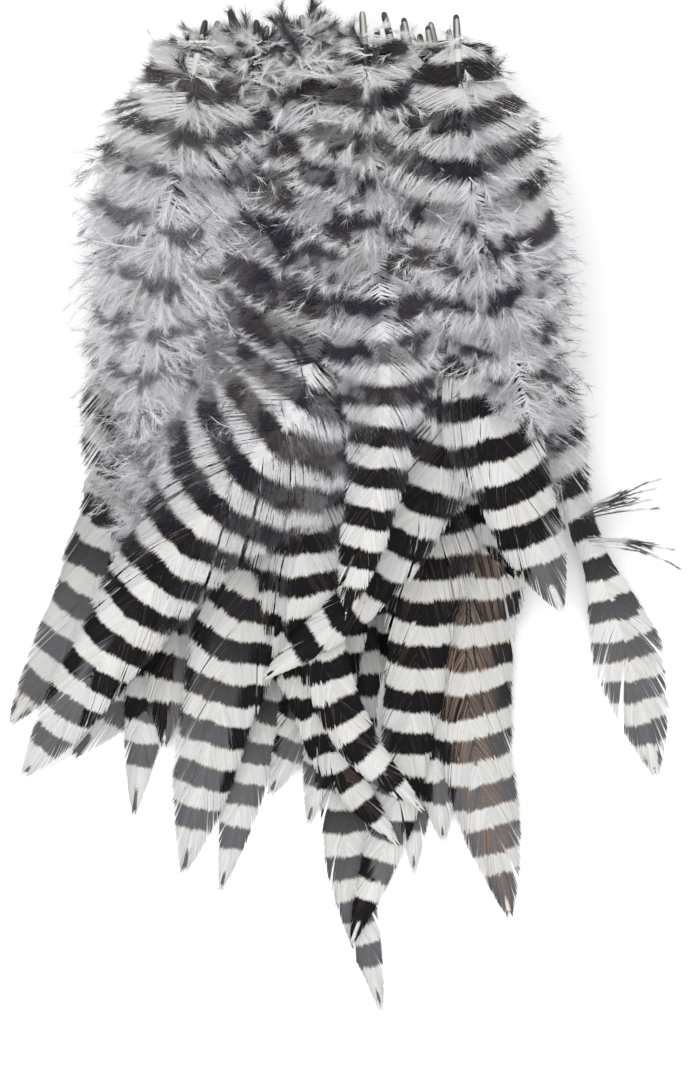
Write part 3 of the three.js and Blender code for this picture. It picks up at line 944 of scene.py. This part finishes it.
def web_material(name, rust, dusk, fade):
    """Barred keratin: dark bars that are brown in places, painted paler where light would come
    through them (painted backlight), and faded in patches of the down."""
    nodes = Nodes(name)
    fluff, tone, ghost = nodes.value("fluff"), nodes.value("tone"), nodes.value("ghost")
    downy = nodes.math("POWER", fluff, 3.0)
    dark = dark_share(nodes, VANE_SOFTNESS, DOWN_SOFTNESS, dusk)
    patch = nodes.span(nodes.noise(PATCH_SCALE, 2.0), 0.42, 0.62)
    # Painted backlight: the dark bars turn grey where light would come through them.
    deep = nodes.blend(ghost, INK, BACKLIT_ASH)
    brown = nodes.math("MULTIPLY_ADD", patch, 0.5 * (1 - rust), 0.3 + 0.6 * rust)
    brown = nodes.math("MULTIPLY", nodes.value("rust"), brown)
    deep = nodes.blend(brown, deep, tuple(mix(np.array(UMBER), np.array(BUFF), rust)))
    # The same painted backlight in the down.
    soft_deep = nodes.blend(ghost, SLATE, BACKLIT_MIST)
    soft_deep = nodes.blend(nodes.math("MULTIPLY", patch, 0.18), soft_deep, FAWN)
    deep = nodes.blend(fluff, deep, soft_deep)
    pale = nodes.blend(fluff, CHALK, PEARL)
    pale = nodes.blend(nodes.math("MULTIPLY", patch, 0.15 + 0.25 * rust), pale, CREAM)
    fading = nodes.span(nodes.noise(FADING_SCALE, 1.5), 0.43, 0.54, fade, max(fade - 0.8, 0))
    kept = nodes.math("SUBTRACT", 1.0, nodes.math("MULTIPLY", fading, downy))
    colour = nodes.blend(nodes.math("MULTIPLY", dark, kept), pale, deep)
    rim = nodes.math("MULTIPLY", dark, nodes.math("SUBTRACT", 1.0, dark))
    rim = nodes.math("MULTIPLY", rim, nodes.math("MULTIPLY_ADD", fluff, -2.4, 2.4))
    colour = nodes.blend(rim, colour, TAN)
    shade = nodes.span(tone, 0.0, 1.0, 0.82, 1.1)
    shaded = nodes.node("ShaderNodeVectorMath", {0: colour, "Scale": shade}, operation="SCALE")
    nodes.link(shaded.outputs[0], "Base Color")
    nodes.shader.inputs["Roughness"].default_value = 0.58
    nodes.shader.inputs["Specular IOR Level"].default_value = 0.12
    return nodes.material


def shaft_material(name):
    """Glossy horn: clear at the quill, with painted shade on its sides, a painted highlight along
    its top and random streaks, black and bone white behind it.
    """
    nodes = Nodes(name)
    dark = dark_share(nodes, HORN_SOFTNESS, HORN_SOFTNESS)
    bone = nodes.blend(nodes.noise(BONE_SCALE), BONE_DARK, BONE_LIGHT)
    # Clear horn: painted shade on its sides and a painted highlight along its top, with random
    # streaks.
    clear = nodes.blend(nodes.value("rust"), CLEAR_SIDE_SHADE, CLEAR_TOP_HIGHLIGHT)
    horn = nodes.blend(nodes.value("tone"), bone, clear)
    nodes.link(nodes.blend(dark, horn, HORN_BLACK), "Base Color")
    nodes.shader.inputs["Roughness"].default_value = 0.35
    nodes.shader.inputs["Coat Weight"].default_value = 0.15
    return nodes.material


def thread_material():
    """Dull white cotton, a little uneven."""
    nodes = Nodes("cotton_thread")
    tint = nodes.blend(nodes.noise(COTTON_SCALE, 4.0), COTTON_DARK, COTTON_LIGHT)
    nodes.link(tint, "Base Color")
    nodes.shader.inputs["Roughness"].default_value = 0.85
    return nodes.material


# The pieces


def make_feather(shaft, name, above, shaft_finish):
    """One feather as one mesh, in place of its solid."""
    rng = np.random.default_rng(SEED + int(name[-2:]))
    parts = Parts()
    add_shaft(rng, parts, shaft)
    add_web(rng, parts, shaft, above)
    looks = (shaft.feather[key] for key in ("rust", "dusk", "fade"))
    web_finish = web_material(f"web_{name}", *looks)
    piece = parts.build(f"barred_{name}", [web_finish, shaft_finish])
    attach(piece, "root")
    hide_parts(name)


def thread_route(fold_shafts, left_to_right):
    """The thread's way through one fold, over one quill and under the next, as in the solids."""
    quills = []
    for shaft in fold_shafts:
        k = np.argmin(np.abs(shaft.y - THREAD_LINE_Y))
        quills.append((shaft.x[k], shaft.z[k] + QUILL_RADIUS))
    quills.sort(reverse=not left_to_right)
    onward = 1 if left_to_right else -1
    offset = QUILL_RADIUS + THREAD_GAP + THREAD_RADIUS
    points = []
    for k, (x, z) in enumerate(quills):
        z += offset if k % 2 == 0 else -offset
        points += [(x - onward * THREAD_REST, z), (x + onward * THREAD_REST, z)]
    (x0, z0), (x1, z1) = points[0], points[-1]
    return [(x0 - onward * THREAD_TAIL, z0), *points, (x1 + onward * THREAD_TAIL, z1)]


def add_ply(parts, line, turn):
    """One of the two strands that are twisted into the thread."""
    walked = lengths_along(line)
    s = np.arange(0, walked[-1], PLY_STEP)
    centre = np.stack([np.interp(s, walked, line[:, k]) for k in range(3)], axis=1)
    along = np.gradient(centre, axis=0)
    along /= np.linalg.norm(along, axis=1)[:, None]
    level = np.array((0, 1, 0))
    up = np.cross(along, level)
    angle = s / PLY_TURN * 2 * math.pi + turn
    radius = THREAD_RADIUS / 2
    centre += radius * (np.cos(angle)[:, None] * up + np.sin(angle)[:, None] * level)
    around = np.linspace(0, 2 * math.pi, PLY_SIDES, endpoint=False)
    spokes = np.cos(around)[None, :, None] * up[:, None] + np.sin(around)[None, :, None] * level
    rings = centre[:, None] + radius * PLY_OVERLAP * spokes
    across = np.broadcast_to(around / (2 * math.pi), (len(s), PLY_SIDES))
    lengthwise = np.broadcast_to((s / walked[-1])[:, None], (len(s), PLY_SIDES))
    faces = tube_faces(len(s), PLY_SIDES)
    parts.add(rings, faces, COTTON, across=across, along=lengthwise)


def make_thread(shafts_of_folds):
    """The thread through all the folds as one mesh of two plies, in place of its solid."""
    route = []
    for k, fold_shafts in enumerate(shafts_of_folds):
        route += thread_route(fold_shafts, k % 2 == 0)
    line = np.array([(x, THREAD_LINE_Y, z) for x, z in route])
    parts = Parts()
    add_ply(parts, line, 0)
    add_ply(parts, line, math.pi)
    piece = parts.build("twisted_thread", [thread_material()])
    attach(piece, "root")
    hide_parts("stringing_thread")


def make_camera():
    """The camera straight above the bunch, as far off as makes the photo's frame."""
    data = bpy.data.cameras.new("camera")
    data.lens = LENS
    data.sensor_width = SENSOR
    camera = bpy.data.objects.new("camera", data)
    distance = LENS / SENSOR * PHOTO_HEIGHT * MM_PER_PIXEL
    camera.location = Vector((LOOK_AT[0], LOOK_AT[1], LOOK_AT[2] + distance)) * MM
    data.clip_start = NEAREST
    data.clip_end = FARTHEST
    bpy.context.scene.collection.objects.link(camera)
    bpy.context.scene.camera = camera


def make_floor():
    """The white ground of the photo, which isn't part of the object."""
    nodes = Nodes("pale_floor")
    nodes.shader.inputs["Base Color"].default_value = FLOOR_PALE
    nodes.shader.inputs["Roughness"].default_value = 0.9
    nodes.shader.inputs["Specular IOR Level"].default_value = 0.0
    mesh = bpy.data.meshes.new("floor")
    half = FLOOR_HALF
    corners = [(-half, -half, 0), (half, -half, 0), (half, half, 0), (-half, half, 0)]
    mesh.from_pydata(corners, [], [(0, 1, 2, 3)])
    mesh.materials.append(nodes.material)
    floor = bpy.data.objects.new("floor", mesh)
    bpy.context.scene.collection.objects.link(floor)


def make_light(name, place, size, power):
    """A round light that faces the bunch."""
    data = bpy.data.lights.new(name, "AREA")
    data.shape = "DISK"
    data.size = size
    data.energy = power
    light = bpy.data.objects.new(name, data)
    light.location = place
    light.rotation_euler = (-Vector(place)).to_track_quat("-Z", "Y").to_euler()
    bpy.context.scene.collection.objects.link(light)


def make_studio():
    world = bpy.data.worlds.new("studio")
    world.use_nodes = True
    world.node_tree.nodes["Background"].inputs["Color"].default_value = WHITE
    world.node_tree.nodes["Background"].inputs["Strength"].default_value = WORLD_STRENGTH
    bpy.context.scene.world = world
    make_light("key", KEY_PLACE, KEY_SIZE, KEY_POWER)
    bpy.context.scene.view_settings.view_transform = "Standard"


make_camera()
make_floor()
make_studio()
quill_finish = shaft_material("quill_horn")
feathers = [feather for fold in FOLDS for feather in fold]
names = [f"feather_{number:02d}" for number in range(1, len(feathers) + 1)]
shafts = [Shaft(feather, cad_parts[name]) for feather, name in zip(feathers, names)]
for shaft, name, above in zip(shafts, names, webs_above(shafts)):
    make_feather(shaft, name, above, quill_finish)
fold_size = len(FOLDS[0])
make_thread([shafts[start : start + fold_size] for start in range(0, len(shafts), fold_size)])
